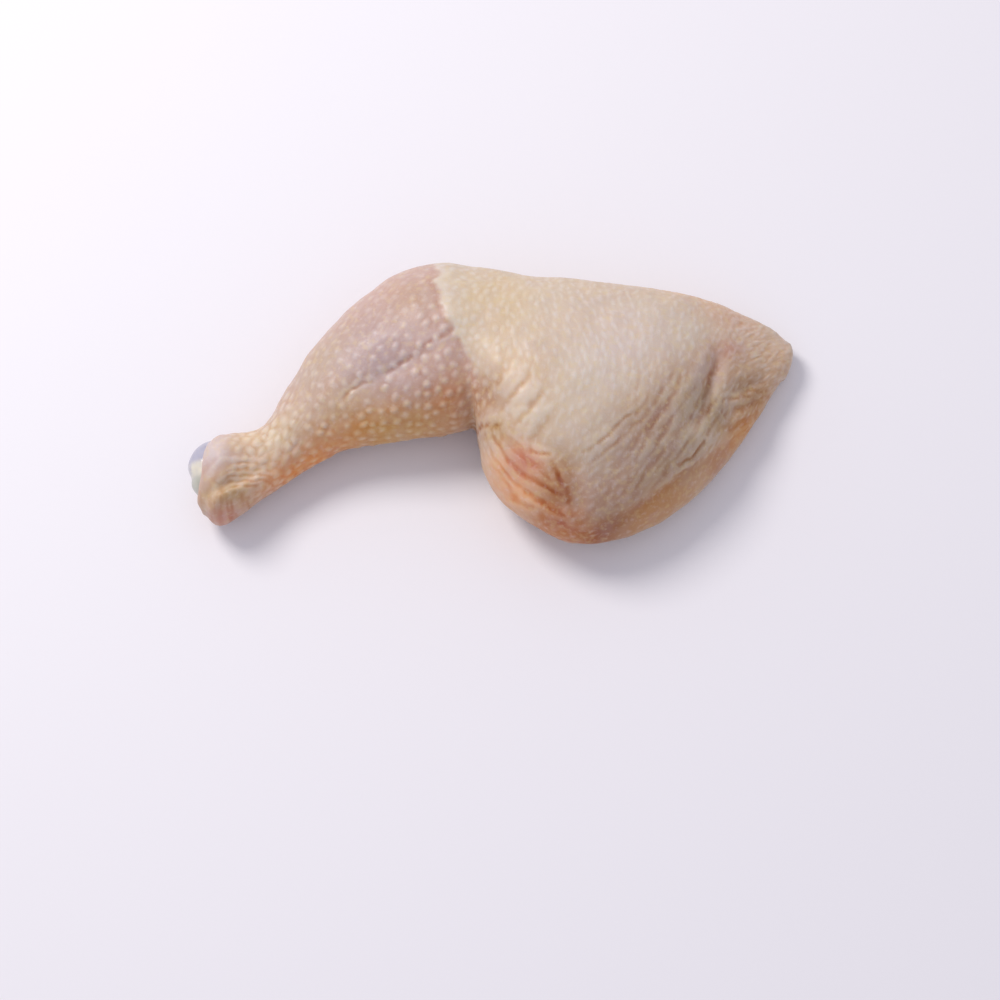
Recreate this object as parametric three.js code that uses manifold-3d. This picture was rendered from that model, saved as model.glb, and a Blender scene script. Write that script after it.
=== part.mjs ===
// A raw chicken leg, thigh and drumstick in one piece, with its skin on.
// It lies on its flat cut side with the knee bent: the hock is at -X, the hip end of the thigh at +X,
// the outside of the knee towards +Y and the hollow of the knee towards -Y. Lengths are in millimetres.
// Two solids: the skin-covered meat, and the gristle cap of the shin bone that shows at the hock.

import * as THREE from "three";
import Module from "manifold-3d";

const LEG_LENGTH = 211; // from the gristle of the hock to the corner of the hip flap
const ROWS = 80; // cuts along the leg
const COLUMNS = 54; // points round each cut
const CAP_ROWS = 6; // cuts that round off each end
const HOCK_CAP = 3.5; // how far the skin bulges past its first cut
const FLAP_CAP = 2.5; // how far the hip flap's corner bulges past its last cut
const SOCKET_GAP = 0.3; // clearance round the gristle

// One cut across the leg. Outer and inner are its two ends in plan, crown is its highest point, edges are
// the heights where its outer and inner sides stand out furthest, and under is the height of its underside:
// below 0 the leg lies flat there. Square is the cut's shape, 2 for an ellipse.
function cut(at, outer, inner, crown, edges, under, square) {
  return { at, outer, inner, crown, edges, under, square };
}

// The cuts from the hock to the hip.
const CUTS = [
  cut("hock face", [-95.5, -18.5], [-99, -44.2], 23, [12, 10], 1, 2.2),
  cut("knuckle", [-91.5, -16.7], [-92.5, -46.7], 24, [13, 10], -1, 2.2),
  cut("ankle", [-81, -13.5], [-72, -32], 21, [11, 10], 2, 2),
  cut("shin", [-72, 1], [-61, -25], 25, [12, 11], 1, 2),
  cut("lower calf", [-64, 13], [-51, -21], 30, [15, 13], -1, 2),
  cut("calf", [-51.5, 27], [-30, -18], 35, [17, 15], -3, 2),
  cut("calf belly", [-36, 38.5], [-14, -15.5], 38, [18, 16], -4, 2.1),
  cut("knee", [-21, 43], [-8, -14], 39, [18, 16], -4, 2.1),
  cut("back of knee", [-7, 41.5], [-7, -20], 39, [18, 15], -4, 2.1),
  cut("fold head", [7, 39.5], [-4.5, -31.5], 40, [17, 15], -4, 2.1),
  cut("fold", [21, 38], [1.5, -41], 41, [17, 15], -4, 2.1),
  cut("fold foot", [35, 37], [13, -50], 41, [16, 15], -5, 2.1),
  cut("thigh", [48, 35.5], [28, -55], 39, [15, 14], -5, 2.1),
  cut("lower thigh", [62, 34.5], [48, -50], 35, [13, 11], -5, 2.1),
  cut("hip", [74, 32], [65, -39], 28, [10, 9], -5, 2.1),
  cut("flap", [86, 28], [77.5, -25.5], 20, [8, 7], -4, 2.2),
  cut("flap edge", [94.5, 24.5], [88, -10], 14, [6.5, 6], -3, 2.3),
  cut("corner", [100.5, 19.5], [98, 6], 10, [5, 5], -2, 2.3),
];

// Furrows in the upper side: the plan points that each one follows, its depth and its half width.
const FURROWS = [
  { at: "between the calf muscles", path: [[-51, -7], [-36, -1], [-18, 8]], depth: 1, half: 3.2 },
  { at: "behind the knee", path: [[-14, 11], [-8, -2], [-3, -15]], depth: 2.4, half: 4.5 },
  { at: "hip dent", path: [[74, 7], [70, -5], [64, -17]], depth: 2.8, half: 3.5 },
  { at: "across the flap", path: [[90, 3], [84, -1], [78, -5]], depth: 1.5, half: 2 },
  { at: "over the skin hem", path: [[30, -54], [57, -37.5], [80, -17]], depth: 2.4, half: 4.2 },
  { at: "first crease of the fold", path: [[3, -29], [10, -40], [26, -48]], depth: 2, half: 2 },
  { at: "second crease of the fold", path: [[3, -36], [8, -41], [15, -45]], depth: 1.8, half: 1.8 },
  { at: "side of the fold", path: [[13, -27], [23, -34], [27, -45]], depth: 2, half: 3 },
  { at: "across the knuckle", path: [[-99, -42], [-91, -37], [-79, -31]], depth: 2.2, half: 2.4 },
];

// Swellings of the upper side: centre in plan, reach along X and Y, and how far it rises.
const SWELLINGS = [
  { at: "upper lobe of the knuckle", centre: [-94, -26], reach: [7, 8], rise: 2.5 },
  { at: "lower lobe of the knuckle", centre: [-92, -42], reach: [9, 5], rise: 2.5 },
  { at: "thigh muscle", centre: [45, 2], reach: [34, 26], rise: 2 },
];

// The gristle cap: a pulley of two rounded rims with a shallow groove between them.
const GRISTLE = {
  centre: [-97, -29.5, 13],
  radii: [8.5, 10.5, 8.5],
  groove: { at: -3, depth: 1.1, half: 2.5 }, // where it runs, from the centre along Y
  around: 28,
  along: 14,
};

// Catmull-Rom spline through equally spaced values.
function spline(values, t) {
  const last = values.length - 1;
  const i = Math.min(Math.floor(t), last - 1);
  const f = t - i;
  const at = (k) => values[Math.max(0, Math.min(last, k))];
  const [a, b, c, d] = [at(i - 1), at(i), at(i + 1), at(i + 2)];
  return b + 0.5 * f * (c - a + f * (2 * a - 5 * b + 4 * c - d + f * (3 * (b - c) + d - a)));
}

// The cut at t, from 0 at the hock to the last cut's number at the hip.
function cutAt(t) {
  const value = (read) => spline(CUTS.map(read), t);
  return {
    outer: [value((c) => c.outer[0]), value((c) => c.outer[1])],
    inner: [value((c) => c.inner[0]), value((c) => c.inner[1])],
    crown: value((c) => c.crown),
    edges: [value((c) => c.edges[0]), value((c) => c.edges[1])],
    under: value((c) => c.under),
    square: value((c) => c.square),
  };
}

// Shortest distance in plan from a point to a furrow, and how far along it that is, from 0 to 1.
function alongFurrow(furrow, x, y) {
  const [a, b, c] = furrow.path.map((p) => new THREE.Vector2(...p));
  const control = b.clone().multiplyScalar(2).addScaledVector(a, -0.5).addScaledVector(c, -0.5);
  const curve = new THREE.QuadraticBezierCurve(a, control, c);
  let best = { distance: Infinity, share: 0 };
  const steps = 20;
  for (let k = 0; k <= steps; k++) {
    const p = curve.getPoint(k / steps);
    const distance = Math.hypot(p.x - x, p.y - y);
    if (distance < best.distance) best = { distance, share: k / steps };
  }
  return best;
}

// How far the upper side rises or sinks at a point in plan.
function relief(x, y) {
  let rise = 0;
  for (const f of FURROWS) {
    const { distance, share } = alongFurrow(f, x, y);
    const fade = Math.pow(Math.sin(Math.PI * (0.12 + 0.76 * share)), 0.7);
    rise -= f.depth * fade * Math.exp(-((distance / f.half) ** 2));
  }
  for (const s of SWELLINGS) {
    const dx = (x - s.centre[0]) / s.reach[0];
    const dy = (y - s.centre[1]) / s.reach[1];
    rise += s.rise * Math.exp(-dx * dx - dy * dy);
  }
  return rise;
}

// A point of a cut. Angle 0 is its outer edge, a quarter turn its crown and a half turn its inner edge.
function pointOfCut(cut, angle) {
  const power = 2 / cut.square;
  const across = Math.sign(Math.cos(angle)) * Math.abs(Math.cos(angle)) ** power;
  const up = Math.abs(Math.sin(angle)) ** power;
  const share = (across + 1) / 2;
  const x = THREE.MathUtils.lerp(cut.inner[0], cut.outer[0], share);
  const y = THREE.MathUtils.lerp(cut.inner[1], cut.outer[1], share);
  const edge = THREE.MathUtils.lerp(cut.edges[1], cut.edges[0], share);
  if (Math.sin(angle) < 0) return new THREE.Vector3(x, y, edge + (cut.under - edge) * up);
  return new THREE.Vector3(x, y, edge + (cut.crown - edge) * up + relief(x, y) * up);
}

// A cut of a rounded end: the end cut drawn in towards its middle and pushed outward.
function pointOfCap(cut, angle, turn, depth, outward) {
  const p = pointOfCut(cut, angle);
  const middle = new THREE.Vector3(
    (cut.outer[0] + cut.inner[0]) / 2,
    (cut.outer[1] + cut.inner[1]) / 2,
    (cut.crown + Math.max(cut.under, 0)) / 2,
  );
  p.lerpVectors(middle, p, Math.cos(turn));
  return p.addScaledVector(outward, depth * Math.sin(turn));
}

// The skin's rings of points from the hock to the hip flap, with the two poles that close it.
function skinRings() {
  const last = CUTS.length - 1;
  const hock = new THREE.Vector3(-1, -0.1, 0).normalize();
  const hip = new THREE.Vector3(1, 0.1, 0).normalize();
  const ring = (place) =>
    Array.from({ length: COLUMNS }, (_, k) => {
      const p = place((2 * Math.PI * k) / COLUMNS);
      p.z = Math.max(p.z, 0);
      return p;
    });
  const first = cutAt(0);
  const end = cutAt(last);
  const rings = [];
  for (let k = CAP_ROWS - 1; k > 0; k--) {
    const turn = ((Math.PI / 2) * k) / CAP_ROWS;
    rings.push(ring((a) => pointOfCap(first, a, turn, HOCK_CAP, hock)));
  }
  for (let k = 0; k <= ROWS; k++) {
    const cut = cutAt((last * k) / ROWS);
    rings.push(ring((a) => pointOfCut(cut, a)));
  }
  for (let k = 1; k < CAP_ROWS; k++) {
    const turn = ((Math.PI / 2) * k) / CAP_ROWS;
    rings.push(ring((a) => pointOfCap(end, a, turn, FLAP_CAP, hip)));
  }
  const pole = (cut, depth, outward) => pointOfCap(cut, 0, Math.PI / 2, depth, outward);
  return { rings, poles: [pole(first, HOCK_CAP, hock), pole(end, FLAP_CAP, hip)] };
}

// The rings of the gristle cap, from its lower pole to its upper one.
function gristleRings(grow) {
  const g = GRISTLE;
  const place = (tilt, turn) => {
    const ring = Math.cos(tilt);
    const n = new THREE.Vector3(-ring * Math.cos(turn), ring * Math.sin(turn), Math.sin(tilt));
    const across = (g.radii[1] * n.y - g.groove.at) / g.groove.half;
    const sunk = g.groove.depth * Math.exp(-across * across) * Math.max(0, -n.x);
    return new THREE.Vector3(
      g.centre[0] + (g.radii[0] + grow - sunk) * n.x,
      g.centre[1] + (g.radii[1] + grow) * n.y,
      g.centre[2] + (g.radii[2] + grow) * n.z,
    );
  };
  const rings = [];
  for (let k = 1; k < g.along; k++) {
    const tilt = -Math.PI / 2 + (Math.PI * k) / g.along;
    rings.push(Array.from({ length: g.around }, (_, j) => place(tilt, (2 * Math.PI * j) / g.around)));
  }
  return { rings, poles: [place(-Math.PI / 2, 0), place(Math.PI / 2, 0)] };
}

// A closed geometry from rings of equal length and the two poles beyond them.
function closedGeometry({ rings, poles }) {
  const n = rings[0].length;
  const points = [...rings.flat(), ...poles];
  const south = rings.length * n;
  const north = south + 1;
  const index = [];
  for (let j = 0; j < n; j++) {
    const k = (j + 1) % n;
    index.push(south, k, j);
    for (let i = 0; i + 1 < rings.length; i++) {
      const [a, b, c, d] = [i * n + j, i * n + k, (i + 1) * n + k, (i + 1) * n + j];
      index.push(a, b, c, a, c, d);
    }
    index.push(north, (rings.length - 1) * n + j, (rings.length - 1) * n + k);
  }
  const geometry = new THREE.BufferGeometry().setFromPoints(points);
  return geometry.setIndex(index);
}

const wasm = await Module();
wasm.setup();

function toSolid(geometry) {
  const triVerts = new Uint32Array(geometry.index.array);
  const vertProperties = new Float32Array(geometry.attributes.position.array);
  const solid = new wasm.Manifold(new wasm.Mesh({ numProp: 3, vertProperties, triVerts }));
  if (solid.volume() > 0) return solid;
  for (let i = 0; i < triVerts.length; i += 3) triVerts.subarray(i, i + 2).reverse();
  return new wasm.Manifold(new wasm.Mesh({ numProp: 3, vertProperties, triVerts }));
}

function toGeometry(solid) {
  const mesh = solid.getMesh();
  const geometry = new THREE.BufferGeometry();
  geometry.setAttribute("position", new THREE.BufferAttribute(new Float32Array(mesh.vertProperties), 3));
  geometry.setIndex(new THREE.BufferAttribute(new Uint32Array(mesh.triVerts), 1));
  geometry.computeVertexNormals();
  return geometry;
}

function skinAndMeat() {
  const socket = toSolid(closedGeometry(gristleRings(SOCKET_GAP)));
  const solid = toSolid(closedGeometry(skinRings())).subtract(socket);
  const skin = new THREE.MeshStandardMaterial({ color: 0xd3b9a8, roughness: 0.45, metalness: 0 });
  const mesh = new THREE.Mesh(toGeometry(solid), skin);
  mesh.name = "leg";
  return mesh;
}

function gristleCap() {
  const solid = toSolid(closedGeometry(gristleRings(0)));
  const gristle = new THREE.MeshStandardMaterial({ color: 0xc9c6d6, roughness: 0.25, metalness: 0 });
  const mesh = new THREE.Mesh(toGeometry(solid), gristle);
  mesh.name = "hock_gristle";
  return mesh;
}

// Both pieces are moved so that the origin is under the middle of the leg, on the surface that it lies on.
const group = new THREE.Group();
group.add(skinAndMeat(), gristleCap());
const box = new THREE.Box3().setFromObject(group);
const middle = box.getCenter(new THREE.Vector3());
const size = LEG_LENGTH / (box.max.x - box.min.x);
for (const mesh of group.children) {
  mesh.scale.setScalar(size);
  mesh.position.set(-middle.x, -middle.y, -box.min.z).multiplyScalar(size);
}

export default group;
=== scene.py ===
import math

import bmesh
import bpy
import numpy as np
from bpy.props import FloatProperty, FloatVectorProperty, IntProperty, PointerProperty
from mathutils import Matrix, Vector


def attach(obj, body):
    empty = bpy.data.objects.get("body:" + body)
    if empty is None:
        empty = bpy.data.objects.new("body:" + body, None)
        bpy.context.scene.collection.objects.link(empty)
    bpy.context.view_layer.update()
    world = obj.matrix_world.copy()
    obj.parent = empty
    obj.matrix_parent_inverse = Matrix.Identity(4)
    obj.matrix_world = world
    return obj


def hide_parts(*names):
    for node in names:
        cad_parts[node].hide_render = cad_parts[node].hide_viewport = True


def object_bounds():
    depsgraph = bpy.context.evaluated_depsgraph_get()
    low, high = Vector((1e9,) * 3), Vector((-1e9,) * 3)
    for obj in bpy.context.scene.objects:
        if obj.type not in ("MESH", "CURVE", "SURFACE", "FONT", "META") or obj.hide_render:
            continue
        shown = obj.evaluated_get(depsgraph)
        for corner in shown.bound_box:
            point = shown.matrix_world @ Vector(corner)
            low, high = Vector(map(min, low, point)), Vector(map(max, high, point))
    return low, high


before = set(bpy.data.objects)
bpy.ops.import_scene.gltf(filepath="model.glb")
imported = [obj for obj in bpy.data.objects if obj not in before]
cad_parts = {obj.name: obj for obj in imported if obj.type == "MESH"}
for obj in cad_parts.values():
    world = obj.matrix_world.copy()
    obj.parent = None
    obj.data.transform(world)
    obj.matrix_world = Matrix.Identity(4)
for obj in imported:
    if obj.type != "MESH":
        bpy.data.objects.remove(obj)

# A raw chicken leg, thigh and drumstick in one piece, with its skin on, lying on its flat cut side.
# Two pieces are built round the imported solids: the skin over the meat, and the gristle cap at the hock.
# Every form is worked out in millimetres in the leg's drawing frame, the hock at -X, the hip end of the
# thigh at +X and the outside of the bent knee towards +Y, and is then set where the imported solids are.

bl_info = {
    "name": "Raw Chicken Leg",
    "version": (1, 0, 0),
    "blender": (4, 5, 0),
    "location": "View3D > Sidebar > Chicken Leg",
    "description": "Builds a raw chicken leg with its skin, its gristle and a plain stage",
    "category": "Add Mesh",
}

CAD_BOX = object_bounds()
MM = 0.001  # one millimetre in metres
SEED = 7
CAP_ROWS = 14  # grid rows in each rounded end of the skin
GRISTLE_GRID = (160, 90)  # grid columns round the gristle cap, and steps from pole to pole
BOX_GRIDS = ((161, 80, 20, 12), (48, 24))  # coarser grids of skin and gristle, which find the form's box
NOISE_CELLS = 32  # lattice cells after which the noise repeats

# The cuts across the leg, from the hock to the hip: name, outer and inner end in plan, crown height, heights
# where the outer and inner sides stand out furthest, height of the underside, and shape, 2 for an ellipse.
CUTS = [
    ("hock face", (-95.5, -18.5), (-99, -44.2), 23, (12, 10), 1, 2.2),
    ("knuckle", (-91.5, -16.7), (-92.5, -46.7), 24, (13, 10), -1, 2.2),
    ("ankle", (-81, -13.5), (-72, -32), 21, (11, 10), 2, 2),
    ("shin", (-72, 1), (-61, -25), 25, (12, 11), 1, 2),
    ("lower calf", (-64, 13), (-51, -21), 30, (15, 13), -1, 2),
    ("calf", (-51.5, 27), (-30, -18), 35, (17, 15), -3, 2),
    ("calf belly", (-36, 38.5), (-14, -15.5), 38, (18, 16), -4, 2.1),
    ("knee", (-21, 43), (-8, -14), 39, (18, 16), -4, 2.1),
    ("back of knee", (-7, 41.5), (-7, -20), 39, (18, 15), -4, 2.1),
    ("fold head", (7, 39.5), (-4.5, -31.5), 40, (17, 15), -4, 2.1),
    ("fold", (21, 38), (1.5, -41), 41, (17, 15), -4, 2.1),
    ("fold foot", (35, 37), (13, -50), 41, (16, 15), -5, 2.1),
    ("thigh", (48, 35.5), (28, -55), 39, (15, 14), -5, 2.1),
    ("lower thigh", (62, 34.5), (48, -50), 35, (13, 11), -5, 2.1),
    ("hip", (74, 32), (65, -39), 28, (10, 9), -5, 2.1),
    ("flap", (86, 28), (77.5, -25.5), 20, (8, 7), -4, 2.2),
    ("flap edge", (94.5, 24.5), (88, -10), 14, (6.5, 6), -3, 2.3),
    ("corner", (100.5, 19.5), (98, 6), 10, (5, 5), -2, 2.3),
]
END_CAPS = (-3.5, 2.5)  # how far the skin bulges past its first and its last cut

# Furrows of the main form: name, the plan points that each one follows, its depth and its half width.
FURROWS = [
    ("between the calf muscles", ((-51, -7), (-36, -1), (-18, 8)), 1.0, 3.2),
    ("behind the knee", ((-14, 11), (-8, -2), (-3, -15)), 2.4, 4.5),
    ("hip dent", ((74, 7), (70, -5), (64, -17)), 2.8, 3.5),
    ("across the flap", ((90, 3), (84, -1), (78, -5)), 1.5, 2),
    ("over the skin hem", ((30, -54), (57, -37.5), (80, -17)), 2.4, 4.2),
    ("first crease of the fold", ((3, -29), (10, -40), (26, -48)), 2, 2),
    ("second crease of the fold", ((3, -36), (8, -41), (15, -45)), 1.8, 1.8),
    ("side of the fold", ((13, -27), (23, -34), (27, -45)), 2, 3),
    ("across the knuckle", ((-99, -42), (-91, -37), (-79, -31)), 2.2, 2.4),
]
FURROW_END, FURROW_RUN, FURROW_FADE = 0.12, 0.76, 0.7  # how a furrow's depth fades towards its ends

# Swellings of the main form: name, centre in plan, reach along X and Y, and how far it rises.
SWELLINGS = [
    ("upper lobe of the knuckle", (-94, -26), (7, 8), 2.5),
    ("lower lobe of the knuckle", (-92, -42), (9, 5), 2.5),
    ("thigh muscle", (45, 2), (34, 26), 2),
]

# The gristle cap, a pulley of two rounded rims with a shallow groove between them.
GRISTLE_CENTRE = np.array((-97, -29.5, 13.0))
GRISTLE_RADII = np.array((8.5, 10.5, 8.5))
GROOVE_AT, GROOVE, GROOVE_HALF = -3.0, 1.1, 2.5  # its middle from the centre along Y, its depth, half width
GRISTLE_UNEVENNESS = 0.2  # how far the cap's surface waves up and down

# The skin's roll round the gristle: its distance from the cap, half width and height, and how far the skin is
# drawn in under the cap.
ROLL_AT, ROLL_HALF, ROLL_HEIGHT, DRAWN_IN = 1.6, 1.3, 0.9, 1.2

# Fine creases of the skin, given as the furrows are.
CREASES = [
    ("fold, main", ((3, -38), (6, -42), (11, -45.5)), 0.65, 0.9),
    ("fold, second", ((9, -41), (13, -44), (22, -50)), 0.55, 0.9),
    ("fold, foot", ((14, -48.5), (21, -52), (29, -53.5)), 0.5, 1.0),
    ("root of the fold", ((18, -34), (21, -39), (23, -45)), 0.4, 1.1),
    ("root of the fold, upper", ((10, -29), (13, -31), (17, -31)), 0.4, 0.8),
    ("long, upper", ((28, -31), (36, -25), (46, -16)), 0.18, 0.6),
    ("long, lower", ((30, -34), (38, -28), (48, -19)), 0.12, 0.6),
    ("beside the dent", ((60, -31), (64, -28), (69, -23)), 0.7, 0.8),
    ("dent", ((74, 5), (71, -2), (66, -11)), 0.4, 1.3),
    ("flap, upper", ((98, 4), (86, -3), (76, -8)), 0.22, 1.0),
    ("flap, middle", ((95, 0), (84, -7), (76, -12)), 0.35, 1.0),
    ("flap, lower", ((92, -5), (84, -11), (78, -16)), 0.22, 1.0),
    ("knee fold", ((-10, -17), (-5, -19.5), (1, -20.5)), 0.5, 1.1),
    ("below the knee fold", ((-6, -20), (-3, -23), (1, -26)), 0.3, 1.3),
    ("hem", ((28, -55), (54, -39), (74, -23)), 0.2, 1.6),
    ("calf, near the shin", ((-52, -9), (-47, -5), (-43, -4)), 0.2, 0.8),
    ("calf, middle", ((-38, -1), (-34, 1), (-28, 4)), 0.2, 0.8),
    ("calf, near the knee", ((-25, 7), (-20, 10), (-16, 12)), 0.15, 0.8),
]
LIP = 0.3  # height of the swollen lips beside a crease, as a share of its depth
# Painted shade in the skin's hollows: where the relief sinks below its blurred mean, the colour is deepened
# and reddened.
HOLLOW_SHADE_FULL = 0.3  # depth of a hollow in mm where its colour is deepest
HOLLOW_SHADE_HUE = np.array((0.7, 1.0, 1.15))  # how much of each colour a hollow takes away: it turns redder
DRIFT_HUE = np.array((0.01, 0.045, 0.075))  # how far the colour drifts from place to place, pink to cream

# Pleats: name, a group's outer and inner line in plan, their half width, each pleat's share of the way from
# the outer to the inner line, and each one's depth.
PLEATS = [
    (
        "fold", ((-6.5, -22), (-1, -38), (22, -53)), ((1, -21), (9, -29), (20, -37)), 0.75,
        (0.1, 0.22, 0.34, 0.57, 0.67, 0.77, 0.86, 0.95), (0.4, 0.6, 0.45, 0.6, 0.5, 0.55, 0.45, 0.3),
    ),
    (
        "knuckle", ((-95, -44), (-87, -40), (-76, -40)), ((-94, -36), (-87, -29.5), (-76, -30)), 0.5,
        (0.1, 0.3, 0.47, 0.64, 0.82, 1.0), (0.08, 0.14, 0.18, 0.18, 0.14, 0.08),
    ),
]

# Raised lines of the skin, given as the furrows are, with a rise in place of the depth.
RIDGES = [
    ("above the hem", ((29, -52), (54, -36), (76, -18)), 0.5, 1.9),
    ("side of the dent", ((69, 7), (65, -4), (57, -19)), 0.6, 2.8),
    ("outer fold of the lobe", ((-5, -28), (0, -39), (13, -49)), 0.7, 1.6),
    ("above the knee fold", ((-8, -14), (-3, -16), (5, -21)), 0.3, 2.0),
    ("above the knuckle's furrow", ((-97, -34), (-90, -29), (-81, -28)), 0.3, 1.4),
    ("below the knuckle's furrow", ((-94, -43), (-87, -38.5), (-79, -39)), 0.3, 1.4),
]

# Flat-topped lumps of fat beside the knee: name, centre in plan, half length and width, turn and rise.
LUMPS = [
    ("first", (4, -6.5), (6, 3), 54, 0.4),
    ("second", (8.5, -13), (6.5, 2.9), 54, 0.6),
    ("third", (12, -19.5), (6.5, 2.9), 50, 0.6),
]

# Domes of each zone of the skin: spacing and rise as shares of the follicles', half length, half width, and
# the depth of the valleys between them.
DOMES = {
    "drumstick": (0.92, 0.62, 1.1, 0.95, 0.0),
    "neck": (0.8, 0.42, 1.5, 1.05, 0.03),
    "fat": (0.72, 0.16, 1.25, 0.9, 0.01),
    "thigh": (0.78, 0.2, 1.4, 0.55, 0.0),
}

DOME_REACH = 3  # lengths of a dome within which it is worked out
DOME_STEPS = (4, 22)  # fewest and most grid steps that this takes each way

# Directions that the skin's wrinkles are blended from, in degrees from +X towards +Y, and how much each zone
# adds to the height of the fine ones.
WRINKLE_ANGLES = (33, 57, 81, 105)
WRINKLE_SHARES = {
    "drumstick": 0.35, "neck": 0.5, "fat": 0.3, "thigh": 0.35, "streaks": 0.3, "flap": 0.6, "bare": -0.7
}

# Fine wrinkles and streaks: length and width of their noise, its share and what the seed gains.
FINE_WRINKLES = ((5, 1.3, 1, 10), (3, 0.8, 0.6, 20))
STREAKS = ((14, 2.6, 0.5, 30), (12, 1.2, 0.7, 35))
WRINKLE_DRIFT = 10  # degrees by which the wrinkles' direction drifts either way

STRIPE_HEIGHT, STRIPE_SIZE = 0.18, (0.8, 6, 6)  # of the stripes on the knuckle's lower lobe
THIGH_RISE, BAND_DROP = 0.3, 0.9  # how far the thigh's skin lies above the form, the band by the hem below it
STREAK_SHARE = 0.34  # the largest share of a streak's colour

# Tones of the skin: name, centre in plan, reach along and across, turn in degrees, colour and strength.
# Several hold painted shade, and one a painted highlight, as noted above them.
TONES = [
    ("drumstick, mauve middle", (-42, 8), (16, 14), 45, "#af9897", 0.8),
    ("drumstick, reddish top", (-29, 24), (9, 8), 45, "#b7967d", 0.7),
    ("drumstick, cream flank", (-62, 4), (15, 8), 50, "#baa796", 0.8),
    ("drumstick, tan middle", (-54, -10), (12, 6), 15, "#c2a789", 0.7),
    # Partly the skin's own yellowish brown, partly painted shade and warm reflected light on the drumstick's
    # lower edge.
    ("drumstick, ochre underside and painted shade", (-36, -17), (26, 6), 5, "#cb9e56", 0.85),
    # Painted shade, brown, in the pit behind the knee on the drumstick's side.
    ("drumstick, painted shade by the knee", (-15, -10), (11, 7), 20, "#c48b5d", 0.8),
    ("neck", (-75, -20), (12, 9), 45, "#cbb79b", 0.8),
    ("neck, orange edge", (-66, -29), (20, 5), 30, "#e58f2a", 0.85),
    ("knuckle, upper lobe", (-96, -25), (6, 8), 0, "#cabcbb", 0.95),
    ("knuckle, tan back", (-86, -21), (6, 5), 30, "#d7bc99", 0.8),
    ("knuckle, ochre wrinkles", (-85, -33), (9, 4), 25, "#f0cea8", 0.8),
    ("knuckle, lower lobe", (-92, -40), (9, 5), 10, "#bc9f72", 0.9),
    ("knuckle, bottom", (-90, -47), (11, 3.5), 10, "#c98d77", 0.85),
    ("fat over the knee", (0, 26), (14, 18), 0, "#d1bc9d", 0.8),
    ("fat beside the knee", (5, -4), (8, 13), 20, "#d8bfa4", 0.85),
    ("shade at the knee", (-3.5, -10), (7, 8), -15, "#af8c6d", 0.75),
    ("thigh, lavender middle", (42, 8), (20, 16), 0, "#d4c4ba", 0.8),
    ("thigh, top edge", (45, 32), (40, 7), -8, "#cbb298", 0.6),
    # The next three tones are partly the skin's own mauve and gold, partly painted shade on the thigh's lower
    # slope, which faces away from the lamp; the golden side also holds painted warm reflected light.
    ("thigh, mauve slope and painted shade", (54, -17), (26, 10), 48, "#b0947d", 0.85),
    ("thigh, golden side and painted shade", (52, -36), (22, 6), 38, "#79532b", 0.5),
    ("thigh, mauve foot and painted shade", (44, -28), (18, 9), 40, "#9f7d6c", 0.5),
    ("thigh, golden foot", (20, -37), (7, 9), -30, "#9a7243", 0.6),
    ("thigh, yellow below it", (36, -43), (16, 7), 30, "#ad8d7b", 0.8),
    # Partly the skin's own mauve, partly painted shade in the hip dent.
    ("hip dent", (73, 4), (9, 6), 70, "#bb9582", 0.8),
    ("below the dent", (73, -12), (6, 8), 60, "#a18767", 0.85),
    ("flap", (86, 3), (9, 9), 0, "#c5a387", 0.8),
    ("flap corner", (97, 12), (9, 8), 0, "#cba789", 0.8),
    ("flap, pink top", (80, 24), (13, 8), -25, "#ca9f87", 0.6),
    ("flap, rosy blotch", (79, 11), (6, 4), 10, "#c38874", 0.5),
    # Partly the skin's own peach, partly painted highlight along the thigh's top edge.
    ("thigh, peach rim and painted highlight", (66, 34), (24, 4), -12, "#d9b28c", 0.7),
    ("flap, yellow rim", (86, -12.5), (18, 5), 52, "#c98434", 0.9),
    ("flap, ochre wrinkles", (86, -3), (9, 7), 40, "#986c3c", 0.6),
    # The hem's next three tones are partly the band's own tan and brown, partly painted shade under the hem,
    # with painted shadow darkest at its two ends.
    ("hem, red end and painted shadow", (75, -28), (7, 5), 50, "#a9683a", 0.6),
    ("hem band", (52, -45), (26, 7), 35, "#ba844f", 0.9),
    ("hem band, dark end and painted shadow", (32, -55), (12, 4), 30, "#83461f", 0.85),
    ("fold, salmon lobe", (5, -38), (15, 10), -50, "#e1a578", 0.95),
    ("fold, pale head", (-1, -21), (6, 5), -30, "#b28d64", 0.8),
    ("fold, pink", (9, -33), (6, 4), -35, "#c0775f", 0.85),
    ("fold, brown root", (20, -43), (7, 8), 0, "#9c5923", 0.8),
    # Partly the fold's own orange, partly painted shade at its foot.
    ("fold, foot", (20, -52), (14, 5), -10, "#bc6818", 0.8),
]

# Flecks in the skin: size in mm, the noise values between which they fade in, largest share and colour.
SKIN_FLECKS = (
    (7, 0.48, 0.66, 0.14, "#b8a6ac"),
    (2.1, 0.52, 0.7, 0.26, "#d6c08c"),
    # The palest flecks, a lavender white, are partly painted highlight.
    (1.8, 0.55, 0.72, 0.13, "#e6dee2"),
)

# The stage, in metres: the middle of the view, the sensor's width in mm, the picture's width in pixels, half
# the floor's side and its height, and the lamp's width, its place and the point that it aims at.
VIEW_TARGET = Vector((2.2 * MM, -30.3 * MM, 0))
SENSOR_WIDTH = 36.0
PICTURE_WIDTH = 1000
FLOOR_HALF, FLOOR_Z = 2.0, -0.1 * MM
LAMP_SIZE, LAMP_PLACE, LAMP_TARGET = 0.5, (-0.62, 0.55, 0.95), (0.01, 0, 0)
LAMP_COLOUR, SKY_COLOUR = "#fffaf5", "#f1f0fb"


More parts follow.
